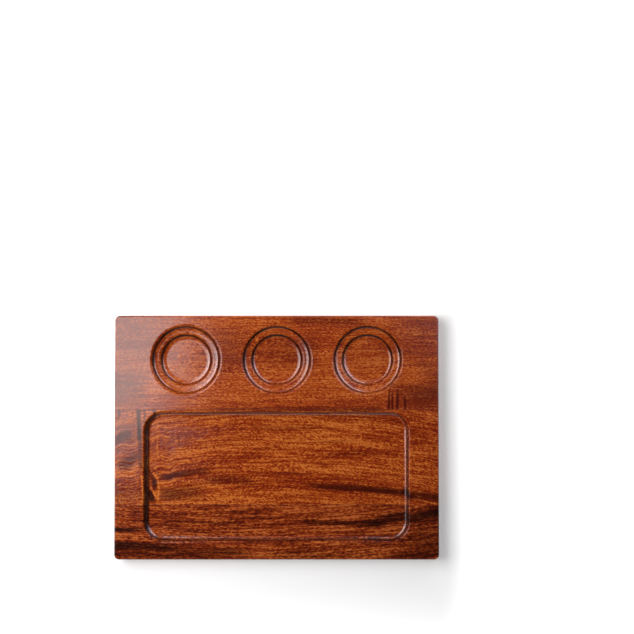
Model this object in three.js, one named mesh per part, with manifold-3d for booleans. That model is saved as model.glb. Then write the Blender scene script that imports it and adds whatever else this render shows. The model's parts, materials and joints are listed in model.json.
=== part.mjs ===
// A reversible deli board: three hardwood staves glued edge to edge and routed on both faces.
// The serving face has a row of stepped round wells for sauce pots behind a coved rectangular tray.
// The reverse has one large coved tray, so the board is used either way up and has no feet.
// Millimetres, +Z up. The origin is the middle of the underside, +X runs along the grain and
// +Y points at the back edge, where the wells are.

import * as THREE from "three";
import { mergeVertices } from "three/addons/utils/BufferGeometryUtils.js";
import Module from "manifold-3d";

// The panel: staves run the whole length, and their widths and the glue between them add up.
const BOARD_LENGTH = 397;
const BOARD_THICKNESS = 20;
const BACK_STAVE_WIDTH = 114.7;
const MIDDLE_STAVE_WIDTH = 117;
const FRONT_STAVE_WIDTH = 65.9;
const GLUE_THICKNESS = 0.2;
const CORNER_RADIUS = 6; // plan corners of the panel
const EDGE_RADIUS = 2; // rounding of the panel's long and short edges, both faces

// The round-over at the mouth of every routed pocket. A pocket's outline is given at its steepest
// line, where the round-over turns into the hollow of the cove below it.
const LIP_RADIUS = 3.8;

// Stepped wells: a wide ledge for one size of pot, and a lower seat for a smaller one.
const WELL_DIAMETER = 82.4;
const WELL_GAP = 29.1; // between two neighbours
const WELL_BACK_MARGIN = 13; // back edge of the board to the wells
const WELL_LEAST_END_MARGIN = 25; // board end to the outermost well, at the least
const WELL_LEDGE_DEPTH = 5; // serving face to ledge
const WELL_LEDGE_WIDTH = 11.1; // outer wall to seat wall
const WELL_SEAT_DEPTH = 5; // ledge to seat
const WELL_COVE_RADIUS = 4.6;

// The tray in the serving face.
const TRAY_END_RIM = 38.2; // board end to the tray
const TRAY_FRONT_RIM = 23.8; // front edge of the board to the tray
const TRAY_WELL_LAND = 24.1; // the wells to the tray
const TRAY_CORNER_RADIUS = 22;
const TRAY_DEPTH = 7;
const TRAY_COVE_RADIUS = 4.8;

// The tray in the reverse.
const REVERSE_END_RIM = 14;
const REVERSE_SIDE_RIM = 12.5;
const REVERSE_CORNER_RADIUS = 25;
const REVERSE_DEPTH = 5;
const REVERSE_COVE_RADIUS = 3.5;

// How finely curves are divided.
const CORNER_STEPS = 8; // in a quarter turn of a plan corner
const WELL_STEPS = 48; // around a well
const ARC_STEPS = 2; // pairs of facets in a cove, a lip or a rounded edge

const CUTTER_OVERRUN = 5; // how far cutting solids stand past what they cut

const BOARD_WIDTH = BACK_STAVE_WIDTH + MIDDLE_STAVE_WIDTH + FRONT_STAVE_WIDTH + 2 * GLUE_THICKNESS;
const BACK_EDGE = BOARD_WIDTH / 2;
const FRONT_EDGE = -BOARD_WIDTH / 2;

const WOODS = {
  back: { color: 0xa0481c, roughness: 0.38, metalness: 0 },
  middle: { color: 0x93421d, roughness: 0.38, metalness: 0 },
  front: { color: 0x7a3016, roughness: 0.38, metalness: 0 },
};
const GLUE = { color: 0x3a1a0c, roughness: 0.5, metalness: 0 };

const wasm = await Module();
wasm.setup();

// A closed geometry as a solid that can be joined and cut.
function solidOf(geometry) {
  const bare = geometry.clone();
  bare.deleteAttribute("normal");
  bare.deleteAttribute("uv");
  const merged = mergeVertices(bare, 1e-4);
  const vertProperties = new Float32Array(merged.attributes.position.array);
  const triVerts = new Uint32Array(merged.index.array);
  return new wasm.Manifold(new wasm.Mesh({ numProp: 3, vertProperties, triVerts }));
}

// A cut solid as a geometry with one normal per facet.
function geometryOf(solid) {
  const mesh = solid.getMesh();
  const indexed = new THREE.BufferGeometry();
  indexed.setAttribute("position", new THREE.BufferAttribute(mesh.vertProperties, mesh.numProp));
  indexed.setIndex(new THREE.BufferAttribute(mesh.triVerts, 1));
  const faceted = indexed.toNonIndexed();
  faceted.computeVertexNormals();
  return faceted;
}

// The corner points of a rectangle with rounded corners, pushed inwards by an inset.
// Every inset keeps the same corner centres, so the rings of one outline line up.
function roundedRing({ xMin, xMax, yMin, yMax, radius }, inset) {
  const centres = [
    [xMax - radius, yMax - radius],
    [xMin + radius, yMax - radius],
    [xMin + radius, yMin + radius],
    [xMax - radius, yMin + radius],
  ];
  return centres.flatMap(([x, y], quarter) =>
    Array.from({ length: CORNER_STEPS + 1 }, (_, step) => {
      const angle = ((quarter + step / CORNER_STEPS) * Math.PI) / 2;
      return new THREE.Vector2(x + (radius - inset) * Math.cos(angle), y + (radius - inset) * Math.sin(angle));
    }),
  );
}

// Carries a profile of (inset, height) points, lowest first, round an outline and closes both ends.
function carryRound(outline, profile) {
  const rings = profile.map(({ x: inset, y: height }) =>
    roundedRing(outline, inset).map((point) => new THREE.Vector3(point.x, point.y, height)),
  );
  const count = rings[0].length;
  const middle = new THREE.Vector3((outline.xMin + outline.xMax) / 2, (outline.yMin + outline.yMax) / 2, 0);
  const points = rings.flat();
  const foot = points.push(middle.clone().setZ(profile[0].y)) - 1;
  const head = points.push(middle.clone().setZ(profile.at(-1).y)) - 1;
  const faces = [];
  for (let i = 0; i < count; i++) {
    const next = (i + 1) % count;
    faces.push(foot, next, i);
    for (let ring = 0; ring + 1 < rings.length; ring++) {
      const low = ring * count;
      const high = low + count;
      faces.push(low + i, low + next, high + next, low + i, high + next, high + i);
    }
    const top = (rings.length - 1) * count;
    faces.push(head, top + i, top + next);
  }
  return new THREE.BufferGeometry().setFromPoints(points).setIndex(faces);
}

// The panel before routing: its outline with every edge rounded.
function panelBlank() {
  const outline = {
    xMin: -BOARD_LENGTH / 2,
    xMax: BOARD_LENGTH / 2,
    yMin: FRONT_EDGE,
    yMax: BACK_EDGE,
    radius: CORNER_RADIUS,
  };
  const profile = new THREE.Path()
    .absarc(EDGE_RADIUS, EDGE_RADIUS, EDGE_RADIUS, -Math.PI / 2, -Math.PI, true)
    .absarc(EDGE_RADIUS, BOARD_THICKNESS - EDGE_RADIUS, EDGE_RADIUS, Math.PI, Math.PI / 2, true);
  return solidOf(carryRound(outline, profile.getPoints(ARC_STEPS)));
}

// The wall of a routed pocket as (inset, height) points, from the foot of its cove up to its mouth in
// a face at height zero. Cove and lip are two arcs that meet at inset zero, at the slope where their
// rises, radius * (1 - cos(slope)), add up to the depth. A deeper pocket is upright between them.
function pocketWall(depth, coveRadius) {
  const upright = depth > coveRadius + LIP_RADIUS;
  const slope = upright ? Math.PI / 2 : Math.acos(1 - depth / (coveRadius + LIP_RADIUS));
  const lean = Math.sin(slope);
  const cove = new THREE.Path()
    .absarc(coveRadius * lean, coveRadius - depth, coveRadius, -Math.PI / 2, -Math.PI / 2 - slope, true)
    .getPoints(ARC_STEPS);
  const lip = new THREE.Path()
    .absarc(-LIP_RADIUS * lean, -LIP_RADIUS, LIP_RADIUS, Math.PI / 2 - slope, Math.PI / 2, false)
    .getPoints(ARC_STEPS);
  return [...cove, ...(upright ? lip : lip.slice(1))];
}

// What a router takes out for a tray in a face at height zero: a flat floor and its wall.
function trayCutter(outline, depth, coveRadius) {
  const wall = pocketWall(depth, coveRadius);
  const above = new THREE.Vector2(wall.at(-1).x, CUTTER_OVERRUN);
  return carryRound(outline, [...wall, above]);
}

// The tray in the serving face, between the ends, the front edge and the row of wells.
function servingTrayCutter() {
  const outline = {
    xMin: TRAY_END_RIM - BOARD_LENGTH / 2,
    xMax: BOARD_LENGTH / 2 - TRAY_END_RIM,
    yMin: FRONT_EDGE + TRAY_FRONT_RIM,
    yMax: BACK_EDGE - WELL_BACK_MARGIN - WELL_DIAMETER - TRAY_WELL_LAND,
    radius: TRAY_CORNER_RADIUS,
  };
  const cutter = trayCutter(outline, TRAY_DEPTH, TRAY_COVE_RADIUS);
  return solidOf(cutter.translate(0, 0, BOARD_THICKNESS));
}

// The tray in the reverse, turned over about the grain so that it cuts upwards.
function reverseTrayCutter() {
  const outline = {
    xMin: REVERSE_END_RIM - BOARD_LENGTH / 2,
    xMax: BOARD_LENGTH / 2 - REVERSE_END_RIM,
    yMin: FRONT_EDGE + REVERSE_SIDE_RIM,
    yMax: BACK_EDGE - REVERSE_SIDE_RIM,
    radius: REVERSE_CORNER_RADIUS,
  };
  return solidOf(trayCutter(outline, REVERSE_DEPTH, REVERSE_COVE_RADIUS).rotateX(Math.PI));
}

// One stepped well, turned about its axis: seat, seat wall, ledge and outer wall.
function wellCutter() {
  const outerRadius = WELL_DIAMETER / 2;
  const seatRadius = outerRadius - WELL_LEDGE_WIDTH;
  const seatWall = pocketWall(WELL_SEAT_DEPTH, WELL_COVE_RADIUS).map(
    ({ x: inset, y: height }) => new THREE.Vector2(seatRadius - inset, height - WELL_LEDGE_DEPTH),
  );
  const outerWall = pocketWall(WELL_LEDGE_DEPTH, WELL_COVE_RADIUS).map(
    ({ x: inset, y: height }) => new THREE.Vector2(outerRadius - inset, height),
  );
  const profile = [
    new THREE.Vector2(0, seatWall[0].y),
    ...seatWall,
    ...outerWall,
    new THREE.Vector2(outerWall.at(-1).x, CUTTER_OVERRUN),
    new THREE.Vector2(0, CUTTER_OVERRUN),
  ];
  return new THREE.LatheGeometry(profile, WELL_STEPS).rotateX(Math.PI / 2);
}

// The row of wells, centred along the board, as many as its length takes.
function wellRowCutters() {
  const pitch = WELL_DIAMETER + WELL_GAP;
  const room = BOARD_LENGTH - 2 * WELL_LEAST_END_MARGIN + WELL_GAP;
  const count = Math.floor(room / pitch);
  const y = BACK_EDGE - WELL_BACK_MARGIN - WELL_DIAMETER / 2;
  return Array.from({ length: count }, (_, i) => {
    const x = (i - (count - 1) / 2) * pitch;
    return solidOf(wellCutter().translate(x, y, BOARD_THICKNESS));
  });
}

// The full-length strip of the panel between two lines across the grain.
function strip(yMin, yMax) {
  const size = [BOARD_LENGTH + 2 * CUTTER_OVERRUN, yMax - yMin, BOARD_THICKNESS + 2 * CUTTER_OVERRUN];
  return solidOf(new THREE.BoxGeometry(...size).translate(0, (yMin + yMax) / 2, BOARD_THICKNESS / 2));
}

const blank = panelBlank();
const cutters = [servingTrayCutter(), reverseTrayCutter(), ...wellRowCutters()];

// A stave or a glue line: its strip of the panel, with the pockets routed through it.
function routedPiece(name, yMin, yMax, finish) {
  const piece = cutters.reduce((left, cutter) => left.subtract(cutter), blank.intersect(strip(yMin, yMax)));
  const mesh = new THREE.Mesh(geometryOf(piece), new THREE.MeshStandardMaterial(finish));
  mesh.name = name;
  return mesh;
}

const board = new THREE.Group();
board.name = "deli_board";

// From the front edge to the back, each piece starting where the last one ends.
const layers = [
  ["front_stave", FRONT_STAVE_WIDTH, WOODS.front],
  ["front_glue_line", GLUE_THICKNESS, GLUE],
  ["middle_stave", MIDDLE_STAVE_WIDTH, WOODS.middle],
  ["back_glue_line", GLUE_THICKNESS, GLUE],
  ["back_stave", BACK_STAVE_WIDTH, WOODS.back],
];
let start = FRONT_EDGE;
for (const [name, width, finish] of layers) {
  board.add(routedPiece(name, start, start + width, finish));
  start += width;
}

export default board;
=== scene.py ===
import json
import math

import bpy
import numpy as np
from mathutils import Matrix, Vector


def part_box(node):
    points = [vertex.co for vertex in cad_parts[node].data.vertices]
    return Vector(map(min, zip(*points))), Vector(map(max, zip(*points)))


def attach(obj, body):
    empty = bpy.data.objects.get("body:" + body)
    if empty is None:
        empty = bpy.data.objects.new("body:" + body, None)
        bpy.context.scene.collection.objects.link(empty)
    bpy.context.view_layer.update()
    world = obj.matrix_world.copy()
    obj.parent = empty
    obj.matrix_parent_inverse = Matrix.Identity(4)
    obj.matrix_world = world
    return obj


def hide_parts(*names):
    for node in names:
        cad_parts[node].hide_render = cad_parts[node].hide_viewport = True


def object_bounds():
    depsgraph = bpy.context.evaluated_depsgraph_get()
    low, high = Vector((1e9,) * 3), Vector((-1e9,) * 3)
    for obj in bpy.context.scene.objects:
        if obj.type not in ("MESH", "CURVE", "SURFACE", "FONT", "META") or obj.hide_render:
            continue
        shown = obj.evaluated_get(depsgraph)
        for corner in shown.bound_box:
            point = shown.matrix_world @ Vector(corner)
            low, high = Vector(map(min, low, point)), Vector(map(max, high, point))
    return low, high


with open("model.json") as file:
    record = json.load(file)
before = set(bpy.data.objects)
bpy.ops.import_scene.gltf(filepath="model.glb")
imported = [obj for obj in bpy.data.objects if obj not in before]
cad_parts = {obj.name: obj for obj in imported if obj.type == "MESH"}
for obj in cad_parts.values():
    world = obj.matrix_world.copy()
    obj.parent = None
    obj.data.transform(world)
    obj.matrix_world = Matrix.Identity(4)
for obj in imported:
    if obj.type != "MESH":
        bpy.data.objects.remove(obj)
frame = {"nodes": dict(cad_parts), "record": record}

# A reversible deli board of three lacquered acacia staves, lying on a pale floor with its wells up.
# Metres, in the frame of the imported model: +X along the grain, +Y towards the wells, +Z up.

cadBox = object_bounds()
mm = 0.001
tiny = 1e-9 # metres, below any size here
scene = bpy.context.scene
boardLow, boardHigh = cadBox
boardLength = boardHigh.x - boardLow.x
boardTop = boardHigh.z

# camera: square on to the serving face, apart from a slight lean to the back
cameraView = {
    "imageSide": 634,              # pixels
    "boardSpan": 324.4,            # pixels, the board's length in the picture
    "boardMiddle": (276.7, 437.4), # pixels
    "distance": 1.4,               # metres from the serving face
    "lean": 1.6,                   # degrees
    "sensor": 36.0,                # millimetres
}


def placeCamera(view):
    focal = view["boardSpan"] * view["distance"] / boardLength # in pixels
    lean = math.radians(view["lean"])
    right = Vector((1, 0, 0))
    up = Vector((0, math.cos(lean), math.sin(lean)))
    look = Vector((0, math.sin(lean), -math.cos(lean)))
    half = view["imageSide"] / 2
    acrossRight = (half - view["boardMiddle"][0]) / focal * view["distance"]
    acrossUp = (view["boardMiddle"][1] - half) / focal * view["distance"]
    place = Vector((0, 0, boardTop)) + acrossRight * right + acrossUp * up - view["distance"] * look
    data = bpy.data.cameras.new("camera")
    data.sensor_width = view["sensor"]
    data.lens = focal * view["sensor"] / view["imageSide"]
    camera = bpy.data.objects.new("camera", data)
    camera.matrix_world = Matrix.Translation(place) @ Matrix((right, up, -look)).transposed().to_4x4()
    scene.collection.objects.link(camera)
    scene.camera = camera
    print("camera", [round(v, 3) for v in place], "lens", round(data.lens, 1))


placeCamera(cameraView)

# shapes: every solid is a profile of (inset, height) points carried round an outline


def arc(centreInset, centreHeight, radius, start, end, steps):
    # circle points from one angle to another, in degrees: centre + radius * (cos, sin)
    turn = np.radians(np.linspace(start, end, steps + 1))
    return np.column_stack([centreInset + radius * np.cos(turn), centreHeight + radius * np.sin(turn)])


def meshObject(name, points, faces):
    mesh = bpy.data.meshes.new(name)
    mesh.from_pydata(points.tolist(), [], faces)
    mesh.validate()
    piece = bpy.data.objects.new(name, mesh)
    scene.collection.objects.link(piece)
    return piece


def ringFaces(rings, around):
    # the numbers of the points in a stack of closed rings, and the quads between each ring and the next
    index = np.arange(rings * around).reshape(rings, around)
    onward = np.roll(index, -1, axis=1)
    sides = np.stack([index[:-1], onward[:-1], onward[1:], index[1:]], axis=-1).reshape(-1, 4)
    return index, sides


def carryRound(name, low, high, radius, profile, steps):
    # point(i, t) = corner centre(t) + (corner radius - inset i) * (cos t, sin t), at height i,
    # with t running once round the four corners; the first and the last ring are closed by one face each
    quarters = np.arange(4)
    turn = (quarters[:, None] + np.linspace(0, 1, steps + 1)) * math.pi / 2
    if min(high[0] - low[0], high[1] - low[1]) - 2 * radius < tiny:
        turn = turn[:, :-1] # a full circle: the corners share their end points
    toRight = np.isin(quarters, (0, 3))[:, None]
    toBack = np.isin(quarters, (0, 1))[:, None]
    centreX = np.broadcast_to(np.where(toRight, high[0] - radius, low[0] + radius), turn.shape).ravel()
    centreY = np.broadcast_to(np.where(toBack, high[1] - radius, low[1] + radius), turn.shape).ravel()
    turn = turn.ravel()
    reach = radius - profile[:, :1]
    x = centreX + reach * np.cos(turn)
    y = centreY + reach * np.sin(turn)
    z = np.broadcast_to(profile[:, 1:], x.shape)
    index, sides = ringFaces(*x.shape)
    faces = sides.tolist() + [index[0, ::-1].tolist(), index[-1].tolist()]
    return meshObject(name, np.stack([x, y, z], axis=-1).reshape(-1, 3), faces)


def combine(target, tool, operation):
    # the target's mesh becomes the exact difference or intersection with the tool
    cut = target.modifiers.new("combine", "BOOLEAN")
    cut.object = tool
    cut.operation = operation
    cut.solver = "EXACT"
    graph = bpy.context.evaluated_depsgraph_get()
    made = bpy.data.meshes.new_from_object(target.evaluated_get(graph))
    target.modifiers.clear()
    target.data = made


def discard(*pieces):
    for piece in pieces:
        bpy.data.objects.remove(piece)


# the panel before routing
panel = {"cornerRadius": 6 * mm, "edgeRadius": 2 * mm, "cornerSteps": 16, "edgeSteps": 6}


def makePanel(look):
    edge = look["edgeRadius"]
    profile = np.concatenate([
        arc(edge, edge, edge, 270, 180, look["edgeSteps"]),
        arc(edge, boardTop - edge, edge, 180, 90, look["edgeSteps"]),
    ])
    return carryRound("panel", boardLow, boardHigh, look["cornerRadius"], profile, look["cornerSteps"])


overrun = 5 * mm # how far a cutter stands past the face


def pocketWall(depth, look):
    # (inset, height) from the floor to the mouth, with the face at height zero: a shallow foot, a cove
    # and a lip, arcs that run into each other; cove and lip meet at inset zero, at the slope where all
    # the rises, radius * (difference of cosines), add up to the depth
    foot, cove, lip = look["foot"], look["cove"], look["lip"]
    low = math.radians(look["footSlope"])
    footRise = foot * (1 - math.cos(low))
    steep = math.acos(min(1.0, (footRise + cove * math.cos(low) + lip - depth) / (cove + lip)))
    footInset = cove * (math.sin(steep) - math.sin(low)) + foot * math.sin(low)
    coveHeight = footRise - depth + cove * math.cos(low)
    start, meet = 270 - look["footSlope"], math.degrees(steep)
    arcs = [
        arc(cove * math.sin(steep), coveHeight, cove, start, 270 - meet, look["coveSteps"]),
        arc(-lip * math.sin(steep), -lip, lip, 90 - meet, 90, look["lipSteps"])[1:],
    ]
    if foot:
        arcs.insert(0, arc(footInset, foot - depth, foot, 270, start, look["footSteps"])[:-1])
    return np.concatenate(arcs)


# trays: a flat floor, a faint ramp left by the router's last lap, a cove and an eased lip
# the ramp starts within lapSoft of the lap's edge, with the share lapStep of its rise
servingTray = {
    "endRim": 38.2 * mm, "frontRim": 23.8 * mm, "backRim": 119.5 * mm, "cornerRadius": 22 * mm,
    "depth": 7 * mm, "foot": 0.0, "footSlope": 0.0, "cove": 4.8 * mm, "lip": 3.8 * mm,
    "lap": 16 * mm, "lapRise": 0.25 * mm, "lapSoft": 0.6 * mm, "lapStep": 0.2,
    "cornerSteps": 24, "coveSteps": 10, "lipSteps": 8,
}
reverseTray = dict(servingTray, endRim=14 * mm, frontRim=12.5 * mm, backRim=12.5 * mm,
                   cornerRadius=25 * mm, depth=5 * mm, cove=3.5 * mm)


def trayCutter(name, look):
    low = (boardLow.x + look["endRim"], boardLow.y + look["frontRim"])
    high = (boardHigh.x - look["endRim"], boardHigh.y - look["backRim"])
    floor, rise = -look["depth"], look["lapRise"]
    lap, soft = look["lap"], look["lapSoft"]
    ramp = [
        (lap + soft, floor), (lap, floor + rise * soft / lap), (lap - soft, floor + rise * look["lapStep"]),
    ]
    wall = pocketWall(look["depth"] - rise, look)
    profile = np.concatenate([ramp, wall, wall[-1:] + (0, overrun)])
    return carryRound(name, low, high, look["cornerRadius"], profile, look["cornerSteps"])


# wells: a seat and a ledge round it, each dished by a shallow foot and a cove, with eased lips above
# the diameter is that of the outer wall where its cove and lip meet, and fromBack runs to the well's middle
well = {
    "fromBack": 54.2 * mm, "diameter": 80.6 * mm, "ledgeDepth": 5 * mm, "ledgeWidth": 10.2 * mm,
    "seatDepth": 5 * mm, "foot": 15 * mm, "footSlope": 14.0, "cove": 3.2 * mm, "lip": 4.6 * mm,
    "steps": 36, "footSteps": 6, "coveSteps": 10, "lipSteps": 8,
}
wellMounts = [mount for mount in frame["record"]["mounts"] if mount["name"].endswith("_well_seat")]


def wellCutter(name, middleX, look):
    middle = (middleX, boardHigh.y - look["fromBack"])
    wall = look["diameter"] / 2
    seatWall = pocketWall(look["seatDepth"], look) + (look["ledgeWidth"], -look["ledgeDepth"])
    ledgeWall = pocketWall(look["ledgeDepth"], look)
    profile = np.concatenate([seatWall, ledgeWall, ledgeWall[-1:] + (0, overrun)])
    low, high = np.subtract(middle, wall), np.add(middle, wall)
    return carryRound(name, low, high, wall, profile, look["steps"])


def slab(name, yMin, yMax):
    # the eight corners of a box that is longer and taller than the panel
    x = np.array([boardLow.x - overrun, boardHigh.x + overrun])
    z = np.array([boardLow.z - overrun, boardTop + overrun])
    grid = np.stack(np.meshgrid(x, [yMin, yMax], z, indexing="ij"), axis=-1).reshape(-1, 3)
    faces = [(0, 1, 3, 2), (4, 6, 7, 5), (0, 4, 5, 1), (2, 3, 7, 6), (0, 2, 6, 4), (1, 5, 7, 3)]
    return meshObject(name, grid, faces)


def routedPanel():
    whole = makePanel(panel)
    toFace = Matrix.Translation((0, 0, boardTop))
    front = trayCutter("servingTrayCutter", servingTray)
    front.data.transform(toFace)
    back = trayCutter("reverseTrayCutter", reverseTray)
    back.data.transform(Matrix.Rotation(math.pi, 4, "X"))
    cutters = [front, back]
    for mount in wellMounts:
        cutter = wellCutter(mount["name"] + "Cutter", mount["pos_m"][0], well)
        cutter.data.transform(toFace)
        cutters.append(cutter)
    for cutter in cutters:
        combine(whole, cutter, "DIFFERENCE")
    discard(*cutters)
    print("panel routed,", len(whole.data.polygons), "faces")
    return whole


shading = {"sharpAngle": 40, "areaWeight": 100} # degrees, and how far the large faces rule


def finishShading(piece, look):
    # smooth over the curves, flat over the flats: corner normals weighted by face area
    mesh = piece.data
    mesh.shade_smooth()
    mesh.set_sharp_from_angle(angle=math.radians(look["sharpAngle"]))
    weigh = piece.modifiers.new("weigh", "WEIGHTED_NORMAL")
    weigh.mode = "FACE_AREA"
    weigh.keep_sharp = True
    weigh.weight = look["areaWeight"]


# materials


def hexColour(code):
    # sRGB hex to linear: ((c + 0.055) / 1.055) ** 2.4, or c / 12.92 when dark
    share = np.array([int(code[i:i + 2], 16) for i in (1, 3, 5)]) / 255
    linear = np.where(share > 0.04045, ((share + 0.055) / 1.055) ** 2.4, share / 12.92)
    return (*linear.tolist(), 1.0)


def addNode(tree, kind, settings=None, links=None):
    # settings go by property, or by a socket's name or number; a linked node gives its first output
    node = tree.nodes.new("ShaderNode" + kind)
    for key, value in (settings or {}).items():
        if isinstance(key, str) and key in node.bl_rna.properties:
            setattr(node, key, value)
        else:
            node.inputs[key].default_value = value
    for key, source in (links or {}).items():
        socket = source.outputs[0] if isinstance(source, bpy.types.Node) else source
        tree.links.new(socket, node.inputs[key])
    return node


def newMaterial(name):
    material = bpy.data.materials.new(name)
    material.use_nodes = True
    material.node_tree.nodes.clear()
    return material, material.node_tree


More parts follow.
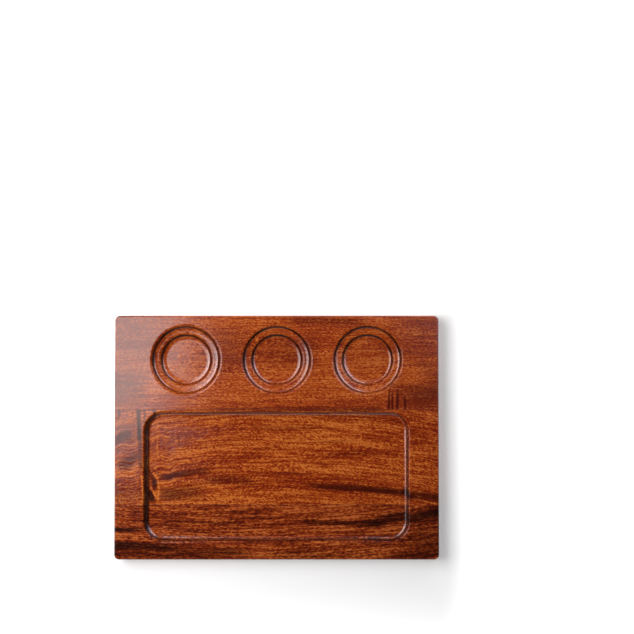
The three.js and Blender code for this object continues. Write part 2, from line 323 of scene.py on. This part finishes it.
# staves: solid wood, so the figure runs through from face to face and shows on the ends
# sizes and places are in millimetres, on the serving face
# tones run from the darkest wood to the lightest, and deep is the colour that the marks sink to
# pith is the (y, z) place of the tree's middle; bands bow about bowMiddle, and fibres stray by waver
# layers are (cell along the grain, cell across it, strength); a fleck layer has a tilt in degrees too;
# real pores are about 0.2 mm wide, too fine to show, so fibres and flecks are drawn coarser
# a mark is a darker stretch of figure, or a paler one where its depths are below zero; a few paint shade
# instead,
# as noted where they stand: (from, to, half width, depth at each end, bow of its middle, share of its length
# that fades at each end)
# curl has an area drawn like a mark, where the fibres sway in waves and the flecks are calmer
# painted shade on the routed walls, standing in for the shade where the lamps on the left don't reach:
# rightLean and steep are the leans at which a wall starts to be shaded and is fully shaded; rightFade,
# (from, to, loss), thins the first along the stave, and ease spares the second on walls that face the back,
# or the front where it is below zero
staves = {
    "back_stave": {
        "slot": "back_wood", "seed": 11.0, "lips": ("face", "ledge"),
        "wallShade": {"rightLean": (0.2, 0.6), "rightFade": (-230, -70, 0.75),
                 "steep": (0.94, 0.68), "steepDepth": 1.0, "ease": 0.6},
        "tones": ["#72250f", "#8a3211", "#9d4115", "#a94c19", "#be662e"], "deep": "#4a1207",
        "pith": (-160, -70), "bowMiddle": 40, "bowRate": 0.00004, "waver": 5.0, "reversePaler": 0.2,
        "broad": (150, 34, 0.3), "band": (260, 12, 0.25), "fibre": (46, 1.8, 0.55),
        "fleck": (3.4, 1.35, 1.25, 12),
        "marks": [
            ((5, 143), (120, 142), 6.5, (0.5, 0.4), 0, 0.3),
            ((-100, 108), (-28, 108), 40, (0.35, 0.3), 0, 0.4),
            ((120, 104), (215, 102), 4, (0.2, 0.2), 0, 0.3),
            ((125, 89), (215, 91), 4, (0.15, 0.2), 0, 0.3),
            ((130, 50), (230, 60), 27, (0.25, 0.85), 0, 0.45),
            ((120, 125), (235, 125), 40, (0.1, 0.3), 0, 0.4),
            # painted shade: these two darken the floors of the middle and right wells, shaded by their
            # walls; the first runs on past the middle well as darker figure
            ((-36, 96), (58, 102), 28, (0.15, 0.45), 0, 0.25),
            ((76, 96), (148, 94), 30, (0.16, 0.14), 0, 0.25),
            ((165, 85), (215, 78), 14, (0.1, 0.3), 0, 0.4),
            ((-90, 34.5), (140, 34.5), 3.6, (0.3, 0.4), 0, 0.1),
            ((137.5, 30), (138.5, 66), 2.4, (1.2, 0.4), 0.5, 0.2),
            ((141.8, 30), (141.3, 62), 2.0, (1.3, 0.4), 0, 0.2),
            ((148, 30), (148.5, 64), 2.6, (1.1, 0.4), 0.5, 0.2),
            ((157.5, 30), (157, 49), 2.8, (0.8, 0.5), 0, 0.25),
            ((-215, 130), (-110, 130), 60, (0.5, 0.1), 0, 0.3),
            ((-230, 65), (-150, 60), 34, (0.8, 0.3), 0, 0.3),
            ((25, 62), (150, 59), 14, (-0.4, -0.35), 0, 0.3),
            ((45, 80), (102, 77), 15, (-0.3, -0.3), 0, 0.4),
            ((150, 72), (210, 66), 10, (-0.3, -0.15), 0, 0.4),
        ],
    },
    "middle_stave": {
        "slot": "middle_wood", "seed": 23.0, "lips": ("face",),
        "wallShade": {"rightLean": (0.06, 0.45), "steep": (0.88, 0.62), "steepDepth": 0.85, "ease": -0.45},
        "tones": ["#6c1b07", "#832e0b", "#983c10", "#a84d18", "#c66b2c"], "deep": "#3a0c03",
        "pith": (-330, -120), "bowMiddle": -5, "bowRate": 0.00043, "waver": 5.0, "reversePaler": 0.0,
        "broad": (130, 30, 0.2), "band": (220, 11, 0.5), "fibre": (52, 1.7, 0.75),
        "fleck": (3.0, 1.2, 1.25, 20),
        "curl": {"area": ((-225, -20), (-115, -25), 60, (1, 1), 0, 0.3),
                 "pitch": 23, "sway": 1.6, "calm": 0.3},
        "marks": [
            ((-90, 33), (140, 33), 4.5, (0.3, 0.4), 0, 0.1),
            ((25, -61), (174, -75), 5.8, (0.8, 1.0), 1.5, 0.24),
            ((150, -69), (225, -77), 8, (0.65, 1.0), 0, 0.1),
            ((-169.8, 52), (-168, -6), 3.8, (0.75, 0.75), 0, 0.2),
            ((-162, 46), (-161.5, 14), 2.0, (0.6, 0.4), 0, 0.3),
            ((-150, 46), (-150, 20), 2.8, (1.0, 0.6), 0, 0.3),
            ((-193, 46), (-193, 22), 2.6, (0.9, 0.5), 0, 0.3),
            ((-203, -6), (-174, 9), 8, (0.55, 0.6), 0, 0.5),
            ((-235, 8), (-150, 8), 34, (0.25, 0.15), 0, 0.3),
            ((-195, -42), (-168, -16), 10, (0.7, 0.6), 0, 0.4),
            # painted shade: a darker strip on the rim along the tray's left lip
            ((-168, 12), (-166.5, -45), 3.6, (0.4, 0.6), 0, 0.2),
            ((-230, -72), (-148, -70), 17, (0.4, 0.25), 0, 0.3),
            ((-205, -51), (-168, -46), 2.4, (-1.0, -1.2), 1.5, 0.2),
            ((-167.3, -43), (-165.5, -83), 1.9, (-1.2, -1.0), 3, 0.15),
            ((-155, -40), (-146, -55), 1.8, (-1.3, -1.3), 0, 0.2),
            ((-146.2, -51), (-146.2, -84), 1.7, (-1.2, -1.2), 1, 0.15),
            ((-156, -61), (-145.3, -83), 1.7, (-1.3, -1.1), 0, 0.2),
            ((-146, -49), (-115, -40), 1.7, (-1.1, -0.6), 2, 0.2),
            ((-146, -60), (-92, -49), 1.8, (-1.1, -0.6), -1, 0.2),
            ((-147, 22), (-147, -30), 1.8, (-0.8, -0.8), 0, 0.2),
            ((-150, -53), (-75, -45), 7, (1.0, 0.5), 1, 0.25),
            ((-151, -50), (-150, -68), 5, (0.9, 0.9), 0, 0.4),
            ((-156, -64), (-152, -88), 6.5, (1.1, 1.0), 0, 0.4),
            ((-155, -36), (-152, -56), 5, (0.6, 0.6), 0, 0.5),
            ((-152, -75), (-80, -70), 13, (0.8, 0.3), 1, 0.3),
            ((-95, -58), (-20, -60), 7.5, (0.5, 0.35), 2, 0.3),
            ((-12, -17), (45, -17), 4.5, (-0.25, -0.25), 0, 0.35),
            ((42, -8), (150, -10), 2.6, (0.3, 0.3), 1, 0.2),
            ((50, -24), (140, -27), 4, (0.25, 0.2), 1, 0.3),
            ((-5, -47), (42, -48), 2, (0.4, 0.3), 0.5, 0.3),
            ((-40, 9), (75, 8), 4.5, (0.3, 0.2), 1, 0.3),
            ((80, 6), (158, 0), 28, (-0.3, -0.3), 0, 0.3),
        ],
    },
    "front_stave": {
        "slot": "front_wood", "seed": 37.0, "lips": ("face",),
        "wallShade": {"rightLean": (0.06, 0.45), "steep": (0.88, 0.62), "steepDepth": 0.85, "ease": 0.2},
        "tones": ["#451206", "#682008", "#7e2f0f", "#954016", "#b55d2a"], "deep": "#1c0502",
        "pith": (-420, -150), "bowMiddle": -60, "bowRate": -0.00026, "waver": 4.0, "reversePaler": 0.0,
        "broad": (150, 24, 0.22), "band": (240, 9, 0.5), "fibre": (60, 2.0, 0.75),
        "fleck": (4.2, 1.4, 1.1, 10),
        "marks": [
            ((20, -107.5), (145, -109.5), 5.4, (0.5, 0.75), -1, 0.25),
            ((-15, -95), (65, -95), 12, (-0.35, -0.35), 0, 0.3),
            ((105, -109), (245, -83), 8.5, (0.45, 1.2), 0, 0.25),
            ((-260, -112), (-155, -112.5), 4.4, (1.3, 0.7), 0, 0.3),
            ((-330, -125), (-105, -136), 7.5, (1.05, 0.75), 0, 0.4),
            ((-170, -134), (-20, -141), 6.5, (0.2, 0.55), 0, 0.25),
            ((-250, -144), (-20, -144), 7, (0.35, 0.3), 0, 0.2),
            ((-145, -107), (-35, -109), 2, (0.5, 0.4), 0, 0.25),
            ((-215, -120), (-160, -120), 3, (-0.2, -0.2), 0, 0.3),
            ((-160, -88), (120, -88), 3.6, (-0.25, -0.1), 0, 0.3),
            ((-130, -129), (-50, -130), 3.2, (-0.25, -0.2), 0, 0.3),
            ((-10, -117), (110, -118), 6, (-0.25, -0.25), 0, 0.3),
            ((35, -132), (115, -132), 12, (-0.3, -0.3), 0, 0.35),
            ((140, -128), (230, -120), 24, (0.15, 0.5), 0, 0.4),
            ((-20, -142), (125, -142), 6, (0.35, 0.15), 0, 0.3),
            ((120, -146), (230, -138), 5, (0.3, 0.5), 0, 0.3),
        ],
    },
}
glueLine = {"dark": "#200b04", "light": "#3c1a0a", "cloud": 6, "roughness": 0.35} # cloud in millimetres
# the glue line is too fine to show, so the wood within a half width of it is drawn darker
jointLines = {"halfWidth": 0.7, "depth": 0.35}
# painted shade on the routed walls, uneven in patches and with less sheen, but not on the panel's own edges
routedWallShade = {"colour": "#150501", "keepFromEdges": 7, "rightDepth": 0.9, "sheenLoss": 0.9, "uneven": 0.25}
# lips are eased by hand, which leaves them duller: the middle height of each and half its rise, and the
# upward shares of the normal between which a lip starts
lips = {"face": (18.7, 1.4), "ledge": (13.85, 1.2), "lean": (0.995, 0.95), "sheenLoss": 0.75}
film = {"roughness": 0.11, "pores": 0.04, "ior": 1.5} # satin lacquer, rougher over the pores
grain = {"bumpStrength": 0.5, "bumpHeight": 0.06 * mm} # pores that show through the film
noiseLook = {"roughness": 0.55, "contrast": (0.3, 0.7), "seedStep": (7.3, 3.1, 1.0)}
fibreStray = ((120, 34, 0.6), (26, 9, 0.25)) # slow and quick: cell along and across, share of the waver
markLook = {"core": 0.2, "toneShift": 0.4} # share of the half width at full depth, and tone lost at depth 1


def layOver(tree, value, layer, strength):
    # value + (layer - 0.5) * strength
    swing = addNode(tree, "Math", {"operation": "SUBTRACT", 1: 0.5}, {0: layer})
    return addNode(tree, "Math", {"operation": "MULTIPLY_ADD", 1: strength}, {0: swing, 2: value})


def stretchedNoise(tree, vector, cell, seed, tilt=0.0, detail=2.0):
    # noise drawn out along the grain, with its contrast raised: one cell is (along, across) millimetres
    along, across = cell
    low, high = noiseLook["contrast"]
    turned = addNode(tree, "Mapping", {
        "vector_type": "TEXTURE", "Scale": (along, across, across), "Rotation": (0, 0, math.radians(tilt)),
        "Location": [seed * step for step in noiseLook["seedStep"]],
    }, {"Vector": vector})
    noise = addNode(tree, "TexNoise", {
        "Scale": 1, "Detail": detail, "Roughness": noiseLook["roughness"],
    }, {"Vector": turned})
    return addNode(tree, "MapRange", {
        "interpolation_type": "SMOOTHSTEP", "From Min": low, "From Max": high,
    }, {0: noise})


def drawMark(tree, place, mark):
    # along runs from 0 to 1 and aside is in half widths; hump = along * (1 - along);
    # strength = smooth step from the half width in to the core * smooth ends * depth
    start, end, halfWidth, depths, bow, fade = mark
    run = Vector(end) - Vector(start)
    own = addNode(tree, "Mapping", {
        "vector_type": "TEXTURE", "Location": (*start, 0), "Rotation": (0, 0, math.atan2(run.y, run.x)),
        "Scale": (run.length, halfWidth, 1),
    }, {"Vector": place})
    axes = addNode(tree, "SeparateXYZ", None, {0: own})
    along = axes.outputs[0]
    rest = addNode(tree, "Math", {"operation": "SUBTRACT", 0: 1.0}, {1: along})
    hump = addNode(tree, "Math", {"operation": "MULTIPLY"}, {0: along, 1: rest})
    aside = addNode(tree, "Math", {
        "operation": "MULTIPLY_ADD", 1: -4 * bow / halfWidth,
    }, {0: hump, 2: axes.outputs[1]})
    aside = addNode(tree, "Math", {"operation": "ABSOLUTE"}, {0: aside})
    inner = addNode(tree, "MapRange", {
        "interpolation_type": "SMOOTHSTEP", "From Min": 1.0, "From Max": markLook["core"],
    }, {0: aside})
    ends = addNode(tree, "MapRange", {
        "interpolation_type": "SMOOTHSTEP", "From Max": fade * (1 - fade),
    }, {0: hump})
    depth = addNode(tree, "MapRange", {"To Min": depths[0], "To Max": depths[1]}, {0: along})
    faded = addNode(tree, "Math", {"operation": "MULTIPLY"}, {0: inner, 1: ends})
    return addNode(tree, "Math", {"operation": "MULTIPLY"}, {0: faded, 1: depth})


def growthRing(tree, place, look):
    # the place across the serving face that the same growth ring reaches:
    # pith + root(distance from the pith squared - height of the face over the pith squared)
    pithY, pithZ = look["pith"]
    faceRise = boardTop / mm - pithZ
    fromPith = addNode(tree, "VectorMath", {"operation": "SUBTRACT", 1: (0, pithY, pithZ)}, {0: place})
    flat = addNode(tree, "VectorMath", {"operation": "MULTIPLY", 1: (0, 1, 1)}, {0: fromPith})
    square = addNode(tree, "VectorMath", {"operation": "DOT_PRODUCT"}, {0: flat, 1: flat})
    square = addNode(tree, "Math", {"operation": "SUBTRACT", 1: faceRise ** 2}, {0: square.outputs["Value"]})
    root = addNode(tree, "Math", {"operation": "SQRT"}, {0: square})
    return addNode(tree, "Math", {"operation": "ADD", 1: pithY}, {0: root})


def curlRing(tree, along, ring, curled, curl):
    # ring + sway * sin(2 pi * along / pitch), as far as the wood is curled
    turn = addNode(tree, "Math", {"operation": "MULTIPLY", 1: 2 * math.pi / curl["pitch"]}, {0: along})
    wave = addNode(tree, "Math", {"operation": "SINE"}, {0: turn})
    sway = addNode(tree, "Math", {"operation": "MULTIPLY", 1: curl["sway"]}, {0: wave})
    return addNode(tree, "Math", {"operation": "MULTIPLY_ADD"}, {0: sway, 1: curled, 2: ring})


def grainLayers(tree, place, axes, ring, look):
    # bands, fibres and flecks follow the rings, bowed along the stave:
    # ring + bowRate * (along - bowMiddle) ** 2; flecks tilt one way in dark bands and the other in pale ones
    along, _, height = axes.outputs
    seed = look["seed"]
    reach = addNode(tree, "Math", {"operation": "SUBTRACT", 1: look["bowMiddle"]}, {0: along})
    bow = addNode(tree, "Math", {"operation": "MULTIPLY"}, {0: reach, 1: reach})
    bowed = addNode(tree, "Math", {"operation": "MULTIPLY_ADD", 1: look["bowRate"]}, {0: bow, 2: ring})
    figure = addNode(tree, "CombineXYZ", None, {0: along, 1: bowed, 2: height})
    banded = addNode(tree, "CombineXYZ", None, {0: along, 1: bowed})
    broad = stretchedNoise(tree, place, look["broad"][:2], seed + 2, detail=1)
    band = stretchedNoise(tree, banded, look["band"][:2], seed + 3, detail=3)
    fibre = stretchedNoise(tree, figure, look["fibre"][:2], seed + 4)
    *fleckCell, _, tilt = look["fleck"]
    rising = stretchedNoise(tree, figure, fleckCell, seed + 5, tilt)
    falling = stretchedNoise(tree, figure, fleckCell, seed + 6, -tilt)
    fleck = addNode(tree, "Mix", None, {0: band, 2: rising, 3: falling})
    return {"broad": broad, "band": band, "fibre": fibre, "fleck": fleck}


def markDepth(tree, spot, across, joints, look):
    # all the marks, and the wood darkened at the joints, added up
    depths = [drawMark(tree, spot, mark) for mark in look["marks"]]
    for joint in joints:
        gap = addNode(tree, "Math", {"operation": "SUBTRACT", 1: joint}, {0: across})
        gap = addNode(tree, "Math", {"operation": "ABSOLUTE"}, {0: gap})
        depths.append(addNode(tree, "MapRange", {
            "From Min": jointLines["halfWidth"], "From Max": 0.0, "To Max": jointLines["depth"],
        }, {0: gap}))
    total = depths[0]
    for depth in depths[1:]:
        total = addNode(tree, "Math", {"operation": "ADD"}, {0: total, 1: depth})
    return total


def wallShadeShares(tree, lean, along, wallShade):
    # how much painted shade a wall gets for facing right, away from the lamps on the left, by the normal's
    # share to the right less its share to the back, and for being steep, by its upward share
    toBack = addNode(tree, "Math", {"operation": "MAXIMUM", 1: 0.0}, {0: lean.outputs[1]})
    toRight = addNode(tree, "Math", {"operation": "SUBTRACT"}, {0: lean.outputs[0], 1: toBack})
    upward = addNode(tree, "Math", {"operation": "ABSOLUTE"}, {0: lean.outputs[2]})
    cases = (
        (toRight, wallShade["rightLean"], routedWallShade["rightDepth"]),
        (upward, wallShade["steep"], wallShade["steepDepth"]),
    )
    right, steep = [addNode(tree, "MapRange", {
        "interpolation_type": "SMOOTHSTEP", "From Min": limits[0], "From Max": limits[1], "To Max": depth,
    }, {0: source}) for source, limits, depth in cases]
    if "rightFade" in wallShade:
        start, end, loss = wallShade["rightFade"]
        kept = addNode(tree, "MapRange", {
            "interpolation_type": "SMOOTHSTEP", "From Min": start, "From Max": end,
            "To Min": 1.0, "To Max": 1 - loss,
        }, {0: along})
        right = addNode(tree, "Math", {"operation": "MULTIPLY"}, {0: right, 1: kept})
    spared = addNode(tree, "Math", {"operation": "MULTIPLY", 1: wallShade["ease"]}, {0: lean.outputs[1]})
    spared = addNode(tree, "Math", {"operation": "MAXIMUM", 1: 0.0}, {0: spared})
    kept = addNode(tree, "Math", {"operation": "SUBTRACT", 0: 1.0}, {1: spared})
    steep = addNode(tree, "Math", {"operation": "MULTIPLY"}, {0: steep, 1: kept})
    return right, steep


def paintedWallShade(tree, lean, place, along, patches, wallShade):
    # painted shade on the walls: the larger of the two shares * (1 - uneven * patches), away from the
    # panel's own edges
    right, steep = wallShadeShares(tree, lean, along, wallShade)
    larger = addNode(tree, "Math", {"operation": "MAXIMUM"}, {0: right, 1: steep})
    even = addNode(tree, "Math", {
        "operation": "MULTIPLY_ADD", 1: -routedWallShade["uneven"], 2: 1.0,
    }, {0: patches})
    larger = addNode(tree, "Math", {"operation": "MULTIPLY"}, {0: larger, 1: even})
    keep = routedWallShade["keepFromEdges"]
    within = (boardHigh.x / mm - keep, boardHigh.y / mm - keep, 0)
    outward = addNode(tree, "VectorMath", {"operation": "ABSOLUTE"}, {0: place})
    outward = addNode(tree, "VectorMath", {"operation": "SUBTRACT", 1: within}, {0: outward})
    outward = addNode(tree, "SeparateXYZ", None, {0: outward})
    further = addNode(tree, "Math", {"operation": "MAXIMUM"}, {0: outward.outputs[0], 1: outward.outputs[1]})
    inside = addNode(tree, "Math", {"operation": "LESS_THAN", 1: 0.0}, {0: further})
    return addNode(tree, "Math", {"operation": "MULTIPLY"}, {0: larger, 1: inside})


def lipShare(tree, lean, height, names):
    # 1 on a leaning surface within the height of one of the lips, 0 elsewhere
    share = addNode(tree, "MapRange", {
        "From Min": lips["lean"][0], "From Max": lips["lean"][1],
    }, {0: lean.outputs[2]})
    near = [addNode(tree, "Math", {
        "operation": "COMPARE", 1: lips[name][0], 2: lips[name][1],
    }, {0: height}) for name in names]
    either = addNode(tree, "Math", {"operation": "MAXIMUM"}, {0: near[0], 1: near[-1]})
    return addNode(tree, "Math", {"operation": "MULTIPLY"}, {0: share, 1: either})


def woodColour(tree, tone, dark, paintedShade, look):
    # the ramp of tones, sunk to the deep colour by the marks and to the painted shade colour on routed walls
    ramp = addNode(tree, "ValToRGB", None, {"Fac": tone})
    stops = ramp.color_ramp.elements
    while len(stops) < len(look["tones"]):
        stops.new(0.5)
    for stop, code, at in zip(stops, look["tones"], np.linspace(0, 1, len(look["tones"]))):
        stop.position = at
        stop.color = hexColour(code)
    colour = ramp.outputs[0]
    for share, code in ((dark, look["deep"]), (paintedShade, routedWallShade["colour"])):
        mixed = addNode(tree, "Mix", {"data_type": "RGBA", 7: hexColour(code)}, {0: share, 6: colour})
        colour = mixed.outputs[2]
    return colour


def acaciaMaterial(name, look, joints):
    # acacia, sanded and clear lacquered: red-brown, with dark and pale bands and short flecks along the
    # grain, under a satin film that shows the soft boxes as a broad sheen
    material, tree = newMaterial(name)
    coords = addNode(tree, "TexCoord")
    place = addNode(tree, "VectorMath", {
        "operation": "SCALE", "Scale": 1 / mm,
    }, {0: coords.outputs["Object"]})
    axes = addNode(tree, "SeparateXYZ", None, {0: place})
    lean = addNode(tree, "SeparateXYZ", None, {0: coords.outputs["Normal"]})
    along, across, height = axes.outputs

    # the fibres waver a little from side to side, and ripple where the grain curls
    ring = growthRing(tree, place, look)
    if "curl" in look:
        face = addNode(tree, "CombineXYZ", None, {0: along, 1: ring})
        curled = drawMark(tree, face, look["curl"]["area"])
        ring = curlRing(tree, along, ring, curled, look["curl"])
    stray = []
    for step, (cellAlong, cellAcross, share) in enumerate(fibreStray):
        stray.append(stretchedNoise(tree, place, (cellAlong, cellAcross), look["seed"] + step))
        ring = layOver(tree, ring, stray[-1], look["waver"] * share)
    spot = addNode(tree, "CombineXYZ", None, {0: along, 1: ring})

    # tone: from the middle of the ramp, paler towards the reverse, with the layers laid over it
    paler = look["reversePaler"]
    tone = addNode(tree, "Math", {
        "operation": "MULTIPLY_ADD", 1: -paler / (boardTop / mm), 2: 0.5 + paler,
    }, {0: height})
    layers = grainLayers(tree, place, axes, ring, look)
    if "curl" in look:
        calm = addNode(tree, "Math", {"operation": "MULTIPLY", 1: look["curl"]["calm"]}, {0: curled})
        layers["fleck"] = addNode(tree, "Mix", {3: 0.5}, {0: calm, 2: layers["fleck"]})
    for layerName, layer in layers.items():
        tone = layOver(tree, tone, layer, look[layerName][2])
    dark = markDepth(tree, spot, across, joints, look)
    tone = addNode(tree, "Math", {
        "operation": "MULTIPLY_ADD", 1: -markLook["toneShift"],
    }, {0: dark, 2: tone})

    # sheen left = 1 - loss * painted-shade wall - loss * eased lip; roughness = film + pores * fleck
    # painted shade: routed walls drawn dark where they face right or are steep, as if in shade
    paintedShade = paintedWallShade(tree, lean, place, along, stray[1], look["wallShade"])
    eased = lipShare(tree, lean, height, look["lips"])
    shine = addNode(tree, "Math", {
        "operation": "MULTIPLY_ADD", 1: -routedWallShade["sheenLoss"], 2: 1.0,
    }, {0: paintedShade})
    shine = addNode(tree, "Math", {
        "operation": "MULTIPLY_ADD", "use_clamp": True, 1: -lips["sheenLoss"],
    }, {0: eased, 2: shine})
    rough = addNode(tree, "Math", {
        "operation": "MULTIPLY_ADD", 1: film["pores"], 2: film["roughness"],
    }, {0: layers["fleck"]})
    pores = addNode(tree, "Math", {"operation": "ADD"}, {0: layers["fleck"], 1: layers["fibre"]})
    bump = addNode(tree, "Bump", {
        "Strength": grain["bumpStrength"], "Distance": grain["bumpHeight"],
    }, {"Height": pores})
    lacquer = addNode(tree, "BsdfPrincipled", {"IOR": film["ior"]}, {
        "Base Color": woodColour(tree, tone, dark, paintedShade, look), "Roughness": rough, "Normal": bump,
        "Specular Tint": shine,
    })
    addNode(tree, "OutputMaterial", None, {"Surface": lacquer})
    return material


def glueMaterial(look):
    # wood glue, cured and sanded flush: dark amber, clouded where it soaked in more
    material, tree = newMaterial("curedWoodGlue")
    coords = addNode(tree, "TexCoord")
    cloud = addNode(tree, "TexNoise", {
        "Scale": 1 / (look["cloud"] * mm),
    }, {"Vector": coords.outputs["Object"]})
    colour = addNode(tree, "Mix", {
        "data_type": "RGBA", 6: hexColour(look["dark"]), 7: hexColour(look["light"]),
    }, {0: cloud})
    body = addNode(tree, "BsdfPrincipled", {
        "Roughness": look["roughness"],
    }, {"Base Color": colour.outputs[2]})
    addNode(tree, "OutputMaterial", None, {"Surface": body})
    return material


def makePieces():
    whole = routedPanel()
    glue = glueMaterial(glueLine)
    nodes = sorted(frame["nodes"])
    joints = [sum(corner.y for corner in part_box(node)) / 2 / mm for node in nodes if node not in staves]
    for node in nodes:
        low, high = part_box(node)
        piece = bpy.data.objects.new(node + "Fine", whole.data.copy())
        scene.collection.objects.link(piece)
        cutter = slab(node + "Slab", low.y, high.y)
        combine(piece, cutter, "INTERSECT")
        discard(cutter)
        finishShading(piece, shading)
        look = staves.get(node)
        piece.data.materials.clear()
        piece.data.materials.append(acaciaMaterial(node + "Acacia", look, joints) if look else glue)
        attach(piece, "root")
        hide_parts(node)
        print(node, len(piece.data.polygons), "faces")
    discard(whole)


makePieces()

# stage: a pale floor that curves up far away all round, white to the eye but keeping the shadow
# the floor's glow rises from the first strength to the second between glowFrom and glowTo, which are metres
# from the board times the rates: (right, back, up) and (left, front, down)
stage = {
    "floorRadius": 4.0, "coveRadius": 1.5, "hub": 0.01, "steps": 64, "coveSteps": 12, "colour": "#e8e8e8",
    "glow": (0.28, 1.0), "glowFrom": 0.03, "glowTo": 0.26,
    "glowRate": (3.5, 25, 1), "glowFrontRate": (6, 1.2, 1),
}


def floorGlow(tree, look):
    # the glow is slow to rise where the shadow falls, most of all in front:
    # length(max((place - high) * rate, (low - place) * front rate, 0))
    coords = addNode(tree, "TexCoord")
    place = coords.outputs["Object"]
    behind = addNode(tree, "VectorMath", {"operation": "SUBTRACT", 1: boardHigh}, {0: place})
    behind = addNode(tree, "VectorMath", {"operation": "MULTIPLY", 1: look["glowRate"]}, {0: behind})
    ahead = addNode(tree, "VectorMath", {"operation": "SUBTRACT", 0: boardLow}, {1: place})
    ahead = addNode(tree, "VectorMath", {"operation": "MULTIPLY", 1: look["glowFrontRate"]}, {0: ahead})
    away = addNode(tree, "VectorMath", {"operation": "MAXIMUM"}, {0: behind, 1: ahead})
    away = addNode(tree, "VectorMath", {"operation": "MAXIMUM", 1: (0, 0, 0)}, {0: away})
    away = addNode(tree, "VectorMath", {"operation": "LENGTH"}, {0: away})
    return addNode(tree, "MapRange", {
        "interpolation_type": "SMOOTHSTEP", "From Min": look["glowFrom"], "From Max": look["glowTo"],
        "To Min": look["glow"][0], "To Max": look["glow"][1],
    }, {0: away.outputs["Value"]})


def paperMaterial(look):
    # pale matt paper that glows for the camera and for mirrored and passing rays, so that it looks white
    material, tree = newMaterial("palePaper")
    paper = addNode(tree, "BsdfDiffuse", {"Color": hexColour(look["colour"])})
    rays = addNode(tree, "LightPath")
    seen = addNode(tree, "Math", {"operation": "ADD"}, {
        0: rays.outputs["Is Camera Ray"], 1: rays.outputs["Is Glossy Ray"],
    })
    seen = addNode(tree, "Math", {"operation": "ADD", "use_clamp": True}, {
        0: seen, 1: rays.outputs["Is Transmission Ray"],
    })
    glow = addNode(tree, "Math", {"operation": "MULTIPLY"}, {0: seen, 1: floorGlow(tree, look)})
    light = addNode(tree, "Emission", None, {"Strength": glow})
    both = addNode(tree, "AddShader", None, {0: paper, 1: light})
    addNode(tree, "OutputMaterial", None, {"Surface": both})
    return material


def makeStage(look):
    # profile turned about the upright axis: a floor from a small hub out, then a quarter arc
    reach = look["floorRadius"] + look["coveRadius"]
    cove = look["coveRadius"]
    rise = arc(cove, cove, cove, 270, 180, look["coveSteps"])
    profile = np.concatenate([[(reach - look["hub"], 0.0)], rise])
    turn = np.linspace(0, 2 * math.pi, look["steps"], endpoint=False)
    radius = reach - profile[:, :1]
    x, y = radius * np.cos(turn), radius * np.sin(turn)
    z = np.broadcast_to(profile[:, 1:], x.shape)
    index, sides = ringFaces(*x.shape)
    faces = sides[:, ::-1].tolist() + [index[0].tolist()]
    floor = meshObject("floor", np.stack([x, y, z], axis=-1).reshape(-1, 3), faces)
    floor.data.shade_smooth()
    floor.data.materials.append(paperMaterial(look))
    print("floor", len(floor.data.polygons), "faces")


makeStage(stage)

# light: a disc overhead on the left for the sheen, boxes on the left and at the back right, low cards
# for the edges, and dim air
softBoxes = {
    "overheadDisc": {"place": (-0.52, 0.142, 1.17), "size": (0.58, 0.58), "power": 4.75, "round": True},
    "leftBox": {"place": (-0.693, 0.323, 0.791), "size": (1.1, 0.55), "power": 11.3},
    "backRightBox": {"place": (0.5, 0.55, 0.36), "size": (0.5, 0.14), "power": 1.0},
    "frontCard": {"place": (0.1, -1.4, 0.4), "size": (1.4, 0.6), "power": 4.0},
    "backCard": {"place": (0.1, 1.4, 0.4), "size": (1.4, 0.6), "power": 3.0, "shine": False},
}
# glints: boxes seen only in the lacquer, where they draw the lines of light round the recesses
glints = {
    "backRightGlint": {"place": (0.55, 0.55, 0.5), "size": (0.9, 0.5), "power": 13.0},
    "leftGlint": {"place": (-0.612, 0.354, 0.843), "size": (1.8, 0.5), "power": 8.0},
    "cornerGlint": {"place": (0.37, 0.22, 1.2), "size": (0.26, 0.26), "power": 0.045},
    "highGlint": {"place": (0.2, 0.37, 1.2), "size": (0.6, 0.24), "power": 0.36},
    "rightHighGlint": {"place": (0.68, 0.3, 1.16), "size": (0.5, 0.5), "power": 4.0},
    "rightGlint": {"place": (0.85, 0.25, 0.42), "size": (0.8, 0.3), "power": 3.0},
}
glintTint = "#e2eaff" # daylight, cooler than the boxes
air = {"colour": "#ffffff", "strength": 0.03}


def addLamp(name, look):
    data = bpy.data.lights.new(name, "AREA")
    data.shape = "DISK" if look.get("round") else "RECTANGLE"
    data.size, data.size_y = look["size"]
    data.energy = look["power"]
    lamp = bpy.data.objects.new(name, data)
    lamp.location = look["place"]
    lamp.rotation_euler = (-lamp.location).to_track_quat("-Z", "Y").to_euler() # faces the origin
    lamp.visible_camera = False
    lamp.visible_glossy = look.get("shine", True)
    scene.collection.objects.link(lamp)
    return lamp


def makeLight():
    for name, look in softBoxes.items():
        addLamp(name, look)
    for name, look in glints.items():
        lamp = addLamp(name, look)
        lamp.data.color = hexColour(glintTint)[:3]
        lamp.visible_diffuse = False
    world = bpy.data.worlds.new("air")
    world.use_nodes = True
    glow = world.node_tree.nodes["Background"]
    glow.inputs["Color"].default_value = hexColour(air["colour"])
    glow.inputs["Strength"].default_value = air["strength"]
    scene.world = world
    scene.view_settings.view_transform = "Standard"
    print("lamps", sorted(softBoxes), "glints", sorted(glints))


makeLight()
